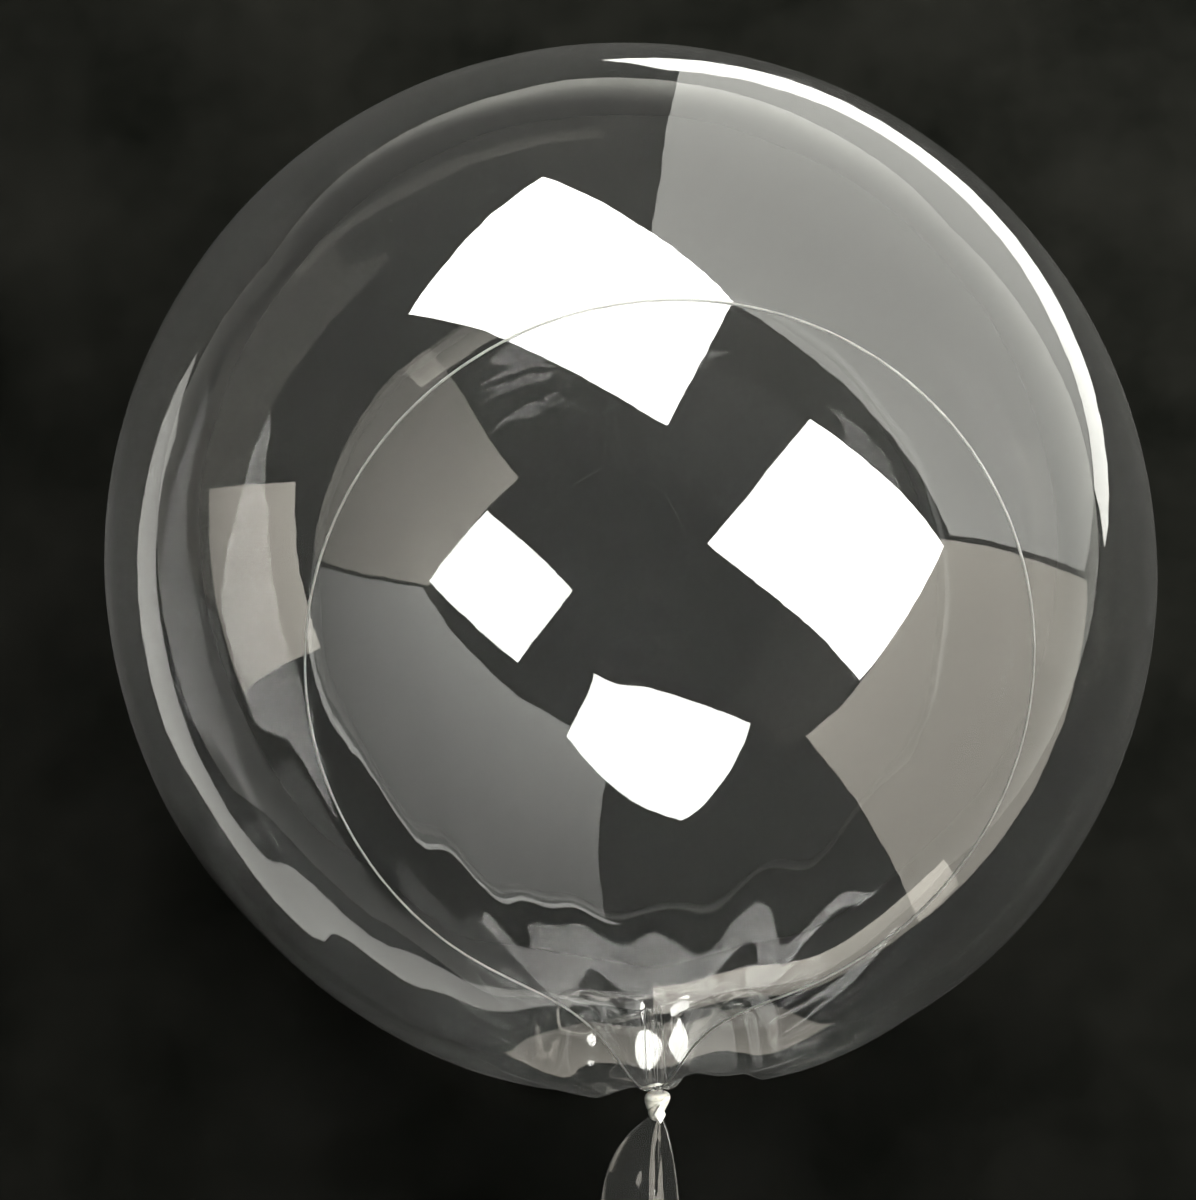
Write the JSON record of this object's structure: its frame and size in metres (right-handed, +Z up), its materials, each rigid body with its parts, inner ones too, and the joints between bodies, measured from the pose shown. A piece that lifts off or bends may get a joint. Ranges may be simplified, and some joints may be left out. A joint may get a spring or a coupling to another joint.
{
  "type": "clear bubble balloon",
  "caption": "Sealed ball of clear film lying on its side, drawn into a pleated neck that a wound tie closes, with the open filling sleeve beyond it; a party decoration.",
  "frame": {"origin": "middle of the flat spot that the balloon rests on, straight below the ball's centre", "axes": "+Z up; the neck and the sleeve point along -Y, and the far side of the ball is at +Y"},
  "size_m": [0.5005, 0.5944, 0.4975],
  "materials": {
    "clear_film": "clear glossy film",
    "ivory_band": "satin ivory band"
  },
  "bodies": {
    "root": {"balloon_film": "clear_film", "neck_tie": "ivory_band"}
  },
  "joints": []
}
